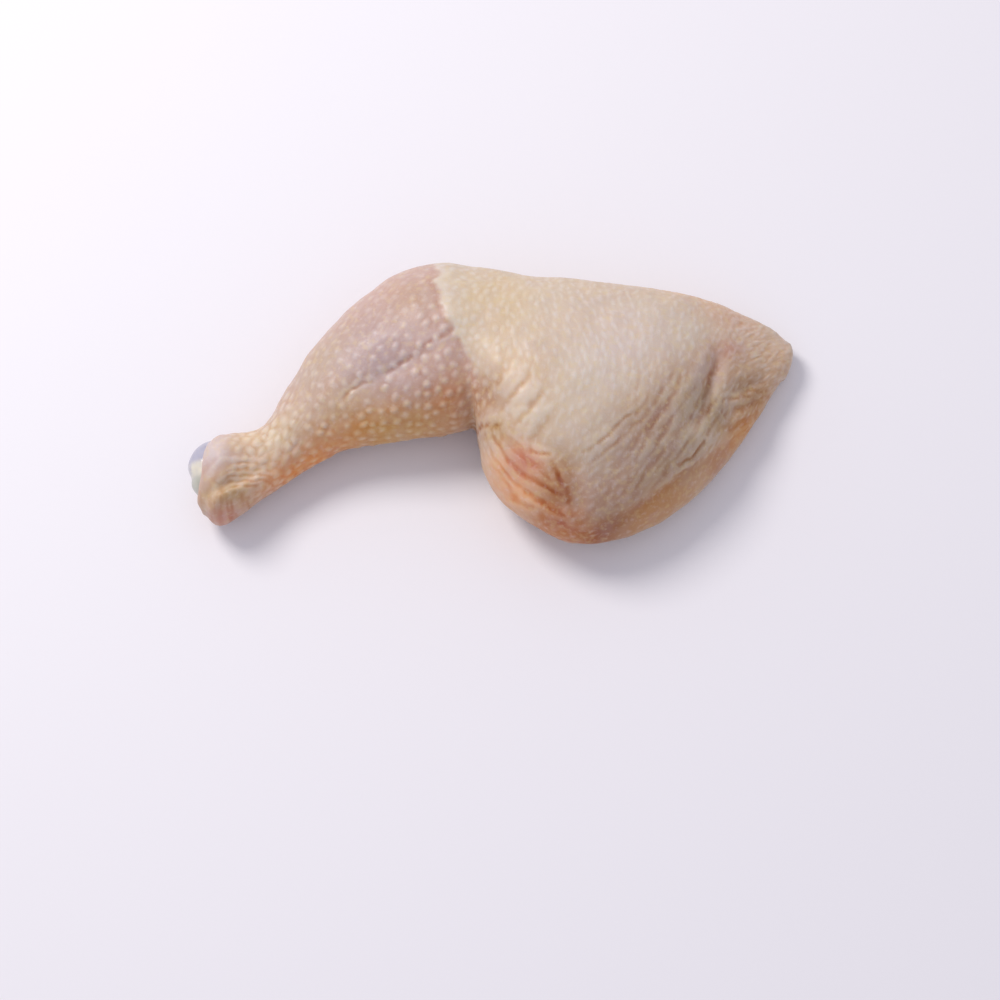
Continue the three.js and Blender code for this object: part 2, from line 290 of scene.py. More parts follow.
def linear(hex_colour):
    """Turns an sRGB hex colour into the linear values that shaders take."""
    parts = [int(hex_colour[k : k + 2], 16) / 255 for k in (1, 3, 5)]
    return tuple(c / 12.92 if c <= 0.04045 else ((c + 0.055) / 1.055) ** 2.4 for c in parts)


def spline(values, t):
    """Catmull-Rom spline through equally spaced values, at each t."""
    values = np.asarray(values, float)
    last = len(values) - 1
    i = np.minimum(np.floor(t).astype(int), last - 1)
    f = t - i
    a, b, c, d = (values[np.clip(i + k, 0, last)] for k in (-1, 0, 1, 2))
    return b + 0.5 * f * (c - a + f * (2 * a - 5 * b + 4 * c - d + f * (3 * (b - c) + d - a)))


def smooth(low, high, x):
    """0 below low, 1 above high, and the cubic 3s^2 - 2s^3 of the share s between them."""
    s = np.clip((x - low) / (high - low), 0, 1)
    return s * s * (3 - 2 * s)


def mixed(first, second, share):
    """The first colour or place, with that share of the second in it."""
    return np.asarray(first) * (1 - share) + np.asarray(second) * share


def curve_points(path, steps=32):
    """Points of the quadratic Bezier curve that passes through three plan points at 0, one half and 1."""
    a, b, c = (np.array(p, float) for p in path)
    control = 2 * b - (a + c) / 2
    t = np.linspace(0, 1, steps + 1)[:, None]
    return (1 - t) ** 2 * a + 2 * t * (1 - t) * control + t * t * c


def along_curve(x, y, path):
    """Distance in plan from each point to the curve through path, and how far along it, from 0 to 1."""
    line = curve_points(path)
    start, step = line[:-1], np.diff(line, axis=0)
    to_x, to_y = x[:, None] - start[:, 0], y[:, None] - start[:, 1]
    share = np.clip((to_x * step[:, 0] + to_y * step[:, 1]) / (step**2).sum(1), 0, 1)
    distance = np.hypot(to_x - share * step[:, 0], to_y - share * step[:, 1])
    best = distance.argmin(1)
    rows = np.arange(len(x))
    return distance[rows, best], (best + share[rows, best]) / len(step)


def groove(x, y, path, depth, half, lip=0.0):
    """Relief of a furrow: -depth * fade * e^-(d/half)^2 at distance d from its curve, with a lip on each side
    that rises by lip * depth two half widths out. Its depth fades as a power of a sine towards both ends."""
    relief = np.zeros(x.shape)
    line = curve_points(path)
    reach = 4 * half
    low, high = line.min(0) - reach, line.max(0) + reach
    near = (x > low[0]) & (x < high[0]) & (y > low[1]) & (y < high[1])
    distance, share = along_curve(x[near], y[near], path)
    fade = np.sin(np.pi * (FURROW_END + FURROW_RUN * share)) ** FURROW_FADE
    d = distance / half
    relief[near] = depth * fade * (lip * np.exp(-((d - 2) ** 2)) - np.exp(-d * d))
    return relief


def turned_offset(x, y, centre, reach, turn):
    """Plan offsets from a centre, along and across a direction, in units of the reach each way."""
    c, s = math.cos(math.radians(turn)), math.sin(math.radians(turn))
    dx, dy = x - centre[0], y - centre[1]
    return (dx * c + dy * s) / reach[0], (dy * c - dx * s) / reach[1]


def bell(x, y, centre, reach, turn=0):
    """Bell curve e^-(a^2 + b^2) over the plan, with a and b the turned offsets from its centre."""
    a, b = turned_offset(x, y, centre, reach, turn)
    return np.exp(-a * a - b * b)


def main_relief(x, y):
    """Furrows and swellings of the main form, the same as in the solid."""
    rise = sum(groove(x, y, path, depth, half) for _, path, depth, half in FURROWS)
    return rise + sum(height * bell(x, y, centre, reach) for _, centre, reach, height in SWELLINGS)


def even_rows(count):
    """Places along the cuts, from 0 to the last, that lie at equal steps of the leg's mean length."""
    t = np.linspace(0, len(CUTS) - 1, 2001)
    sides = [np.stack([spline([c[k][j] for c in CUTS], t) for j in (0, 1)], 1) for k in (1, 2)]
    steps = sum(np.linalg.norm(np.diff(side, axis=0), axis=1) for side in sides) / 2
    length = np.concatenate(([0], np.cumsum(steps)))
    return np.interp(np.linspace(0, length[-1], count), length, t)


def even_angles(upper, under):
    """Angles round a cut: equal steps of arc over the upper half of a 1.7 to 1 ellipse, and again below."""
    flatness = 1.7
    turn = np.linspace(0, np.pi, 721)
    steps = np.hypot(np.diff(flatness * np.cos(turn)), np.diff(np.sin(turn)))
    length = np.concatenate(([0], np.cumsum(steps))) / steps.sum()
    halves = [np.interp(np.arange(n) / n, length, turn) for n in (upper, under)]
    return np.concatenate((halves[0], halves[1] + np.pi))


def skin_form(rows, upper, under, cap_rows):
    """The main form as a grid of points: row by row a superellipse between a cut's outer and inner end, its
    upper half raised to the crown and its lower half sunk to the underside, with rounded caps at both ends.
    Nothing is below the floor. Returns the points, the share of the relief that each takes and the poles."""
    t = even_rows(rows)
    last = len(CUTS) - 1.0
    shrink = np.arccos(1 - np.arange(1, cap_rows + 1) / (cap_rows + 1))
    turn = np.concatenate((shrink[::-1], np.zeros(rows), shrink))
    t = np.concatenate((np.zeros(cap_rows), t, np.full(cap_rows, last)))[:, None]
    push = np.array(END_CAPS)[(t > last / 2).astype(int)] * np.sin(turn)[:, None]
    outer_x, outer_y, inner_x, inner_y = (spline([c[k][j] for c in CUTS], t) for k in (1, 2) for j in (0, 1))
    crown, under_z, square = (spline([c[k] for c in CUTS], t) for k in (3, 5, 6))
    outer_z, inner_z = (spline([c[4][j] for c in CUTS], t) for j in (0, 1))
    angle = even_angles(upper, under)[None, :]
    power = 2 / square
    across = np.sign(np.cos(angle)) * np.abs(np.cos(angle)) ** power
    up = np.abs(np.sin(angle)) ** power
    share = (across + 1) / 2
    x = inner_x + (outer_x - inner_x) * share
    y = inner_y + (outer_y - inner_y) * share
    edge = inner_z + (outer_z - inner_z) * share
    above = np.where(np.sin(angle) >= 0, up, 0)
    relief = main_relief(x.ravel(), y.ravel()).reshape(x.shape)
    z = np.where(np.sin(angle) < 0, edge + (under_z - edge) * up, edge + (crown - edge + relief) * up)
    middle = ((outer_x + inner_x) / 2, (outer_y + inner_y) / 2, (crown + np.maximum(under_z, 0)) / 2)
    keep = np.cos(turn)[:, None]
    aim = np.array((1, 0.1, 0)) / math.hypot(1, 0.1)
    points = np.stack([m + (p - m) * keep + push * a for m, p, a in zip(middle, (x, y, z), aim)], 2)
    points[..., 2] = np.maximum(points[..., 2], 0)
    ends = np.array([[m[k, 0] for m in middle] for k in (0, -1)]) + np.outer(END_CAPS, aim)
    return points, above * np.ones_like(x), ends


def grid_normals(points):
    """Outward unit normals of a grid whose columns run round and close: the cross product of the steps along
    and round it, by central differences."""
    along = np.gradient(points, axis=0)
    around = np.roll(points, -1, 1) - np.roll(points, 1, 1)
    normals = np.cross(around, along)
    normals /= np.maximum(np.linalg.norm(normals, axis=2, keepdims=True), 1e-9)
    return normals if (normals[..., 2] * (points[..., 2] - points[..., 2].mean())).sum() > 0 else -normals


def noise(points, size, seed):
    """Smooth random values from -1 to 1: random numbers on a lattice of that size in mm, blended between the
    eight corners round each point by the cubic 3s^2 - 2s^3."""
    table = np.random.default_rng(seed).uniform(-1, 1, (NOISE_CELLS,) * 3)
    place = np.asarray(points, float) / size + 100
    cell = np.floor(place).astype(int)
    f = place - cell
    f = f * f * (3 - 2 * f)
    total = 0
    for corner in np.ndindex(2, 2, 2):
        weight = np.prod([f[..., k] if corner[k] else 1 - f[..., k] for k in range(3)], axis=0)
        i, j, k = ((cell[..., axis] + corner[axis]) % NOISE_CELLS for axis in range(3))
        total = total + weight * table[i, j, k]
    return total


def knee_line(x, y):
    """About the signed distance in plan from the line where the drumstick's skin meets the fat of the thigh,
    positive on the thigh's side: the offset along X from the line, times the cosine of its mean slant. The
    line's x is a piecewise linear function of y."""
    slant = 0.93
    line_y = (-26, -20, -16, -11, -6, 1, 9, 19, 34, 46)
    line_x = (-14, -6, 0, 0, -3.5, -8.5, -13.5, -18.5, -21, -22)
    return (x - np.interp(y, line_y, line_x)) * slant


def hem_line(x, y):
    """About the signed distance in plan from the hem along the thigh's lower edge, positive below it: the
    offset along Y, times the cosine of the hem's mean slant. Its y is a piecewise linear function of x."""
    slant = 0.8
    line_x = (28, 43, 57, 70, 83, 95)
    line_y = (-55, -47, -37, -26.5, -15, -3)
    return (np.interp(x, line_x, line_y) - y) * slant


def packed(points, spacing, start):
    """Indexes of points that lie about a spacing apart, packed outward from the first: each next one is the
    point nearest to those chosen that is still a full spacing away from them all."""
    chosen = [start]
    nearest = np.linalg.norm(points - points[start], axis=1) / spacing
    while True:
        free = np.where(nearest >= 1, nearest, np.inf)
        k = int(free.argmin())
        if not np.isfinite(free[k]):
            return np.array(chosen)
        chosen.append(k)
        nearest = np.minimum(nearest, np.linalg.norm(points - points[k], axis=1) / spacing)


def domes_on(points, normals, plan):
    """Relief of the plan's domes: rise * e^-q^2, where q^2 = (a/length)^2 + (b/width)^2 and a and b are the
    distances along and across the dome's direction on the surface. Where domes meet, the higher one counts.
    Returns it with the nearest dome's e^-q^2 and the gap between the two smallest values of q, which is 0
    half way between two domes."""
    rows, columns = points.shape[:2]
    height = np.zeros((rows, columns))
    first, second = np.full((2, rows, columns), 9.0)
    for row, column, direction, length, width, rise in zip(*plan):
        here = points[row, column]
        before, after = max(row - 1, 0), min(row + 1, rows - 1)
        row_step = np.linalg.norm(points[after, column] - points[before, column]) / (after - before)
        column_step = np.linalg.norm(points[row, (column + 1) % columns] - here)
        steps = [DOME_REACH * length / max(step, 0.05) for step in (row_step, column_step)]
        high, wide = (int(np.clip(step, *DOME_STEPS)) for step in steps)
        i = np.clip(np.arange(row - high, row + high + 1), 0, rows - 1)[:, None]
        j = (np.arange(column - wide, column + wide + 1) % columns)[None, :]
        n = normals[row, column]
        along = direction - n * direction.dot(n)
        along /= max(np.linalg.norm(along), 1e-6)
        offset = points[i, j] - here
        q = np.hypot(offset @ along / length, offset @ np.cross(n, along) / width)
        height[i, j] = np.maximum(height[i, j], rise * np.exp(-q * q))
        second[i, j] = np.minimum(second[i, j], np.maximum(first[i, j], q))
        first[i, j] = np.minimum(first[i, j], q)
    return height, np.exp(-first * first), second - first


def blurred(values, steps):
    """Values of a grid whose columns run round, averaged with their neighbours by three box filters."""
    for _ in range(3):
        values = sum(np.roll(values, k, 1) for k in range(-steps, steps + 1)) / (2 * steps + 1)
        wide = np.pad(values, ((steps, steps), (0, 0)), mode="edge")
        rows = len(values)
        values = sum(wide[k : k + rows] for k in range(2 * steps + 1)) / (2 * steps + 1)
    return values


def wrinkle_angle(x, y):
    """Direction of the skin's fine wrinkles in plan, in degrees: leaning back over the middle of the thigh
    and forward, flatter and flatter, towards its lower edge and the hip."""
    middle = bell(x, y, (24, 14), (28, 20))
    low = smooth(-5, -32, y) * smooth(10, 30, x)
    return 62 + 46 * middle - 12 * low - 30 * smooth(76, 88, x)


def wrinkles(points, length, width, seed):
    """Noise of about -1 to 1, stretched along the wrinkles' direction: for each of a few fixed directions,
    noise of that length along it and width across it, blended by how near each is to the wrinkles' own."""
    x, y, z = np.moveaxis(points, -1, 0)
    angle = wrinkle_angle(x, y) + WRINKLE_DRIFT * noise(points, 15, seed)
    gap = WRINKLE_ANGLES[1] - WRINKLE_ANGLES[0]
    total, weights = 0, 1e-6
    for k, degrees in enumerate(WRINKLE_ANGLES):
        c, s = math.cos(math.radians(degrees)), math.sin(math.radians(degrees))
        turned = np.stack(((x * c + y * s) / length, (y * c - x * s) / width, z / (2 * width)), -1)
        weight = np.clip(1 - np.abs(angle - degrees) / gap, 0, 1)
        total, weights = total + weight * noise(turned, 1, seed + 1 + k), weights + weight**2
    return total / np.sqrt(weights)


def colour_setting(name, description, hex_colour):
    """A colour of the panel, with its default as an sRGB hex value."""
    return FloatVectorProperty(
        name=name, description=description, default=linear(hex_colour), min=0, max=1, subtype="COLOR"
    )


def length_setting(name, description, millimetres):
    """A length of the panel, with its default in mm."""
    return FloatProperty(
        name=name, description=description, default=millimetres * MM, unit="LENGTH", precision=5
    )


class SkinSettings(bpy.types.PropertyGroup):
    """Sizes and colours of the skin."""

    rows: IntProperty(
        name="Rows", description="Grid rows from the hock to the hip flap", default=400, min=80, max=440
    )
    upper_columns: IntProperty(
        name="Upper columns", description="Grid columns over the upper side", default=190, min=40, max=220
    )
    under_columns: IntProperty(
        name="Under columns", description="Grid columns over the underside", default=42, min=16, max=80
    )
    follicle_spacing: length_setting("Follicle spacing", "Distance between the drumstick's follicles", 4.2)
    follicle_height: length_setting("Follicle height", "How far the strongest follicles stand up", 0.65)
    unevenness: length_setting("Unevenness", "How far the skin waves up and down over the meat", 0.45)
    wrinkle_height: length_setting("Wrinkle height", "How far the skin's fine wrinkles stand up", 0.12)
    streak_height: length_setting("Streak height", "How far the streaks beside the hip dent stand up", 0.24)
    # Paleness of the domes' tops: partly the follicles' own cream, partly painted highlight.
    follicle_pallor_and_highlight: FloatProperty(
        name="Follicle tint", description="How pale the tops of the follicles are",
        default=0.3, min=0, max=1, subtype="FACTOR",
    )
    muscle: colour_setting("Over muscle", "Colour of thin skin over muscle", "#c3a89e")
    fat: colour_setting("Over fat", "Colour of skin over fat", "#cdbba7")
    follicle: colour_setting("Follicles", "Colour of the tops of the follicles", "#ead9bd")
    # The thigh's pale strokes are a lavender white, partly the skin's own papillae and partly painted
    # highlight.
    stroke: colour_setting("Strokes", "Colour of the pale strokes of the thigh", "#ddd3d8")
    streak_light: colour_setting("Pale streaks", "Colour of the raised streaks", "#bfab8c")
    streak_dark: colour_setting("Dark streaks", "Colour of the sunk streaks", "#9c7a6c")
    # Strength of the painted shade in the skin's hollows.
    hollow_shade: FloatProperty(
        name="Hollow depth", description="How much deeper the skin's colour is in its hollows",
        default=1.0, min=0, max=2,
    )


class GristleSettings(bpy.types.PropertyGroup):
    """Colours of the gristle cap."""

    upper: colour_setting("Upper rim", "Colour of the gristle towards the shin's outer side", "#aaa8b8")
    lower: colour_setting("Lower rim", "Colour of the gristle past the groove", "#b6b6aa")
    sinew: colour_setting("Sinew", "Colour of the sinew that is left between the rims", "#dcd6c4")


class StageSettings(bpy.types.PropertyGroup):
    """Camera, light and floor."""

    elevation: FloatProperty(
        name="Camera elevation", description="Angle of the view above the floor",
        default=math.radians(73), subtype="ANGLE",
    )
    distance: length_setting("Camera distance", "From the camera to the middle of its view", 900)
    pixel: length_setting("Picture scale", "Width of one of 1000 pixels in the middle of the view", 0.35)
    floor: colour_setting("Floor", "Colour of the floor", "#ebe9ee")
    key_power: FloatProperty(
        name="Key light", description="Power of the large soft lamp", default=10.0, unit="POWER"
    )
    sky: FloatProperty(
        name="Sky light", description="Strength of the even light from all round", default=0.68
    )


def add_node(tree, kind, inputs=None, **settings):
    """Adds a node with its settings. Each input takes a value, or a link from another node's output."""
    node = tree.nodes.new(kind)
    for name, value in settings.items():
        setattr(node, name, value)
    for key, value in (inputs or {}).items():
        if isinstance(value, bpy.types.NodeSocket):
            tree.links.new(value, node.inputs[key])
        else:
            node.inputs[key].default_value = value
    return node


def new_material(name):
    """A material with an empty node tree."""
    material = bpy.data.materials.new(name)
    material.use_nodes = True
    material.node_tree.nodes.clear()
    return material, material.node_tree


def add_noise(tree, size, detail=2.0):
    """Noise from 0 to 1 over the piece, its features of that size in mm."""
    where = add_node(tree, "ShaderNodeTexCoord").outputs["Object"]
    inputs = {"Vector": where, "Scale": 1 / (size * MM), "Detail": detail}
    return add_node(tree, "ShaderNodeTexNoise", inputs).outputs["Fac"]


def add_range(tree, value, before, after):
    """The value mapped from one range to another and kept within it."""
    inputs = {0: value, 1: before[0], 2: before[1], 3: after[0], 4: after[1]}
    return add_node(tree, "ShaderNodeMapRange", inputs).outputs[0]


def add_bump(tree, height, strength, distance):
    """Normals of a fine relief that stands up by that distance in mm."""
    inputs = {"Height": height, "Strength": strength, "Distance": distance * MM}
    return add_node(tree, "ShaderNodeBump", inputs).outputs["Normal"]


def add_shader(tree, inputs):
    """The principled shader of a material, linked to its output."""
    shader = add_node(tree, "ShaderNodeBsdfPrincipled", inputs)
    add_node(tree, "ShaderNodeOutputMaterial", {"Surface": shader.outputs["BSDF"]})


def colour4(colour):
    """A colour with full opacity."""
    return (*colour, 1.0)


def form_box():
    """Lowest and highest corner of skin and gristle together in the drawing frame."""
    grids = skin_form(*BOX_GRIDS[0])[0], gristle_form(*BOX_GRIDS[1])[0]
    both = np.concatenate([grid.reshape(-1, 3) for grid in grids])
    return both.min(0), both.max(0)


def placed(points):
    """Points of the drawing frame, in mm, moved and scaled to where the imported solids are, in metres."""
    low, high = form_box()
    cad_low, cad_high = (np.array(corner) for corner in CAD_BOX)
    scale = (cad_high[0] - cad_low[0]) / (high[0] - low[0])
    offset = (cad_low + cad_high) / 2 - scale * (low + high) / 2
    offset[2] = cad_low[2] - scale * low[2]
    return points * scale + offset


def closed_mesh(name, points, poles):
    """A mesh from a grid whose columns run round and close, with a fan of triangles to a pole at each end and
    its faces turned outwards, so that its signed volume is above 0."""
    rows, columns = points.shape[:2]
    index = np.arange(rows * columns).reshape(rows, columns)
    after = np.roll(index, -1, 1)
    quads = np.stack((index[:-1], after[:-1], after[1:], index[1:]), 2).reshape(-1, 4)
    pole = np.full(columns, rows * columns)
    fans = ((after[0], index[0], pole), (index[-1], after[-1], pole + 1))
    fans = [face for fan in fans for face in np.stack(fan, 1).tolist()]
    corners = placed(np.concatenate((points.reshape(-1, 3), poles)))
    mesh = bpy.data.meshes.new(name)
    mesh.from_pydata(corners.tolist(), [], quads.tolist() + fans)
    mesh.validate()
    solid = bmesh.new()
    solid.from_mesh(mesh)
    if solid.calc_volume(signed=True) < 0:
        mesh.flip_normals()
    solid.free()
    mesh.shade_smooth()
    return mesh


def add_tones(mesh, tones):
    """Stores each vertex's colour. The two poles take the mean colour of the rows beside them."""
    flat = np.concatenate((tones.reshape(-1, 3), tones[[0, -1]].mean(1)))
    attribute = mesh.attributes.new("tone", "FLOAT_COLOR", "POINT")
    rgba = np.insert(flat, 3, 1.0, axis=1)
    attribute.data.foreach_set("color", rgba.astype(np.float32).ravel())


def skin_zones(points):
    """Shares from 0 to 1 of the skin's zones at each point. Drumstick, neck of the shin, fat by the knee and
    the rest of the thigh add up to 1. The others lie over them: the flap at the hip, the band below the hem,
    the streaks beside the dent, the knuckle's striped lobe, the calm outer side of the calf, and all that has
    no domes. Each is a product of smooth steps over the plan, or a bell curve in it."""
    x, y, z = np.moveaxis(points, -1, 0)
    ragged = noise(points, 5, SEED + 3) + noise(points, 2.2, SEED + 4)
    past_knee = knee_line(x, y) + 0.9 * ragged
    soft = 1.6 + 3 * smooth(4, -12, y) + 2 * smooth(18, 6, z)
    thigh = smooth(-soft, soft, past_knee)
    fat = thigh * (1 - smooth(8, 24, past_knee))
    neck = (1 - thigh) * (1 - smooth(-80, -66, x + 0.3 * y))
    band = smooth(-1.2, 2.2, hem_line(x, y)) * smooth(24, 34, x) * smooth(86, 76, x)
    lobe = bell(x, y, (-95, -27), (5.5, 8))
    stripes = bell(x, y, (-90, -44), (8, 5))
    fold = bell(x, y, (5, -38), (13, 11)) * thigh
    bend = bell(x, y, (1, -16), (6, 7))
    by_gristle = smooth(5, 2, gristle_distance(points))
    return {
        "drumstick": 1 - thigh - neck,
        "neck": neck,
        "fat": fat,
        "thigh": thigh - fat,
        "flap": smooth(72, 84, x),
        "band": band,
        "streaks": smooth(36, 60, x) * smooth(84, 76, x - 0.4 * y) * smooth(4, -14, y) * (1 - band),
        "stripes": stripes,
        "calm": (1 - thigh - neck) * smooth(20, 40, 0.77 * y - 0.64 * x),
        "bare": np.clip(1.6 * np.maximum.reduce((fold, lobe, stripes, band, bend, by_gristle)), 0, 1),
    }


def dome_values(zones, column):
    """One column of the table of domes, blended by the shares of the zones."""
    return sum(zones[name] * values[column] for name, values in DOMES.items())


def dome_plan(settings, points, normals, zones):
    """Where the skin's domes lie, packed from the drumstick's middle, and each one's direction, length, width
    and rise: follicles on the drumstick, scales on the neck of the shin, grains on the fat by the knee and
    strokes on the thigh, but none low down, under the leg or where the skin is bare."""
    x, y, z = np.moveaxis(points, -1, 0)
    step = settings.follicle_spacing / MM * dome_values(zones, 0)
    shown = (z > 2.5) & (normals[..., 2] > -0.5) & (zones["bare"] < 0.6)
    rows, columns = (2 * part for part in np.nonzero(shown[::2, ::2]))
    start = int(np.argmin(np.hypot(x[rows, columns] + 40, y[rows, columns])))
    chosen = packed(points[rows, columns], step[rows, columns], start)
    rng = np.random.default_rng(SEED)
    count = len(chosen)
    row = np.clip(rows[chosen] + rng.integers(-1, 2, count), 0, x.shape[0] - 1)
    column = (columns[chosen] + rng.integers(-1, 2, count)) % x.shape[1]
    here = {name: share[row, column] for name, share in zones.items()}
    x, y = x[row, column], y[row, column]
    angle = np.radians(wrinkle_angle(x, y) + rng.normal(0, 9, count))
    direction = np.stack((np.cos(angle), np.sin(angle), np.zeros(count)), 1)
    length, width = (rng.uniform(0.8, 1.2, count) * dome_values(here, k) for k in (2, 3))
    rise = settings.follicle_height / MM * dome_values(here, 1) * (1 - here["bare"])
    rise = rise * (1 - 0.8 * here["calm"]) * (1 - 0.5 * here["streaks"])
    return row, column, direction, length, width, rise * rng.uniform(0.4, 1.2, count)


def bent_plan(points):
    """Plan coordinates of the points, shifted by noise of two sizes, so that no line over them runs true."""
    coarse = [0.7 * noise(points, 7, SEED + 5 + k) for k in range(2)]
    fine = [0.4 * noise(points, 2.5, SEED + 7 + k) for k in range(2)]
    return [(points[..., k] + coarse[k] + fine[k]).ravel() for k in range(2)]


def crease_relief(points):
    """Relief of the creases, pleats, ridges and lumps over the bent plan. A lump is rise * e^-(a^4 + b^4),
    with a and b in units of its half length and width."""
    x, y = bent_plan(points)
    relief = np.zeros(x.shape)
    for _, path, depth, half in CREASES:
        relief += groove(x, y, path, depth, half, LIP)
    for _, outer, inner, half, shares, depths in PLEATS:
        for share, depth in zip(shares, depths):
            relief += groove(x, y, mixed(outer, inner, share), depth, half, LIP)
    for _, path, rise, half in RIDGES:
        relief += groove(x, y, path, -rise, half)
    for _, centre, reach, turn, rise in LUMPS:
        a, b = turned_offset(x, y, centre, reach, turn)
        relief += rise * np.exp(-(a**4) - b**4)
    return relief.reshape(points.shape[:2])


def skin_waves(settings, points):
    """Height of the skin's soft waves over the meat: noise of two sizes that fades out where the leg lies."""
    waves = noise(points, 12, SEED) + 0.6 * noise(points, 5.5, SEED + 1)
    return settings.unevenness / MM * waves * smooth(1, 6, points[..., 2])


def skin_detail(settings, points, normals, above, zones):
    """Height of all that is finer than the skin's waves, in mm along the normal: domes less the valleys
    between them, wrinkles, streaks and stripes, which fade out where the leg lies, and on the upper side the
    creases, the thigh's skin raised and the band below the hem sunk. The domes' bell curves and the streaks
    come with it for the colours."""
    free = smooth(1, 6, points[..., 2])
    domes, bells, gap = domes_on(points, normals, dome_plan(settings, points, normals, zones))
    valleys = dome_values(zones, 4) * (1 - zones["bare"]) * (1 - smooth(0, 1.2, gap))
    height = (domes - valleys) * free
    fine = sum(part * np.abs(wrinkles(points, *size, SEED + more)) for *size, part, more in FINE_WRINKLES)
    amount = sum(share * zones[name] for name, share in WRINKLE_SHARES.items())
    height += settings.wrinkle_height / MM * np.clip(amount, 0.1, 2) * fine * free
    streaks = sum(part * wrinkles(points, *size, SEED + more) for *size, part, more in STREAKS)
    height += settings.streak_height / MM * (zones["streaks"] + 0.5 * zones["flap"]) * streaks * free
    stripes = noise(points / STRIPE_SIZE, 1, SEED + 40)
    height += STRIPE_HEIGHT * zones["stripes"] * stripes * free
    height += (0.9 + 0.4 * noise(points, 3, SEED + 9)) * crease_relief(points) * above
    height += (THIGH_RISE * (zones["fat"] + zones["thigh"]) - BAND_DROP * zones["band"]) * above
    return height, bells, streaks


def gristle_distance(points):
    """About how far each point lies outside the gristle cap, in mm: (1 - 1/q) times its distance from the
    cap's centre, where q is that distance in units of the cap's radii."""
    away = points - GRISTLE_CENTRE
    q = np.linalg.norm(away / GRISTLE_RADII, axis=-1)
    return (1 - 1 / np.maximum(q, 1e-6)) * np.linalg.norm(away, axis=-1)


def cuff(points):
    """Relief of the skin's rolled edge round the gristle: height * e^-((d - at)/half)^2 at distance d outside
    the cap, less a smooth step that draws the skin in under the cap."""
    out = gristle_distance(points)
    front = smooth(-86, -91, points[..., 0])
    roll = ROLL_HEIGHT * np.exp(-(((out - ROLL_AT) / ROLL_HALF) ** 2))
    return (roll - DRAWN_IN * smooth(0.6, -0.6, out)) * front


def tone_share(centre, thigh):
    """Share of a tone that shows at each point: near the knee line it goes over both sides, and elsewhere it
    stays on its own side."""
    past_knee = knee_line(*centre)
    if abs(past_knee) < 4:
        return 1
    return thigh if past_knee > 0 else 1 - thigh


def skin_tones(settings, points, zones, bells, streaks, cavity):
    """Colour of each vertex, linear: the muscle's and the fat's colours on the two sides of the knee line,
    each named tone over them by a bell curve that weakens low down on the sides, several of them holding
    painted shade and one a painted highlight, a slow drift between pink and cream, paler tops on the domes,
    partly their own colour and partly painted highlight, tan and mauve streaks, and painted shade in the
    hollows, where each colour is raised to a power above 1, which makes it deeper and redder."""
    x, y, z = np.moveaxis(points, -1, 0)
    shown = (0.3 + 0.7 * smooth(2, 14, z))[..., None]
    thigh = (zones["fat"] + zones["thigh"])[..., None]
    tone = mixed(settings.muscle, settings.fat, thigh)
    for name, centre, reach, turn, colour, strength in TONES:
        share = bell(x, y, centre, reach, turn)[..., None] * tone_share(centre, thigh)
        weight = strength * shown * share
        tone = mixed(tone, linear(colour), weight)
    drift = noise(points, 16, SEED + 51) + 0.6 * noise(points, 7, SEED + 52)
    tone = tone * (1 + drift[..., None] * DRIFT_HUE)
    dotted = (1 - zones["bare"]) * (1 - 0.7 * zones["calm"]) * (1 - 0.5 * zones["streaks"])
    dotted = dotted * (0.8 + 0.4 * noise(points, 4, SEED + 50))
    # Paler tops on the domes, partly their own colour and partly painted highlight.
    top = (settings.follicle_pallor_and_highlight * bells**2 * dotted)[..., None]
    # On the thigh the dome tops turn half towards that lavender white, partly painted highlight.
    tone = mixed(tone, mixed(settings.follicle, mixed(tone, settings.stroke, 0.5), thigh), top)
    for colour, side in ((settings.streak_light, 1), (settings.streak_dark, -1)):
        weight = np.clip(0.9 * side * streaks * zones["streaks"], 0, STREAK_SHARE)[..., None]
        tone = mixed(tone, colour, weight)
    # Painted shade in the hollows: each colour is raised to a higher power, deeper and redder where the
    # relief sinks.
    depth = np.clip(-cavity / HOLLOW_SHADE_FULL, -0.1, 1)[..., None]
    return np.clip(tone, 0.02, 0.95) ** (1 + settings.hollow_shade * depth * HOLLOW_SHADE_HUE)


def skin_material():
    """Raw poultry skin: thin, moist and slightly see-through over fat and muscle, with a wet film. It gives
    soft glowing shadows, small blurred highlights on follicles, and uneven cream, pink and ochre tones."""
    material, tree = new_material("raw poultry skin, moist")
    colour = add_node(tree, "ShaderNodeAttribute", attribute_name="tone").outputs["Color"]
    # The flecks are mixed into the colour; the palest of them is partly painted highlight.
    for size, low, high, amount, hex_colour in SKIN_FLECKS:
        share = add_range(tree, add_noise(tree, size), (low, high), (0.0, amount))
        inputs = {0: share, 6: colour, 7: colour4(linear(hex_colour))}
        colour = add_node(tree, "ShaderNodeMix", inputs, data_type="RGBA").outputs[2]
    film, pores = add_noise(tree, 4), add_noise(tree, 0.7, 3.0)
    add_shader(tree, {
        "Base Color": colour,
        "Roughness": add_range(tree, film, (0.3, 0.7), (0.38, 0.56)),
        "Normal": add_bump(tree, pores, 0.25, 0.25),
        "IOR": 1.42,
        "Specular IOR Level": 0.3,
        "Subsurface Weight": 0.25,
        "Subsurface Radius": (1.0, 0.65, 0.45),
        "Subsurface Scale": 1.0 * MM,
        "Coat Weight": 0.1,
        "Coat Roughness": 0.2,
    })
    return material


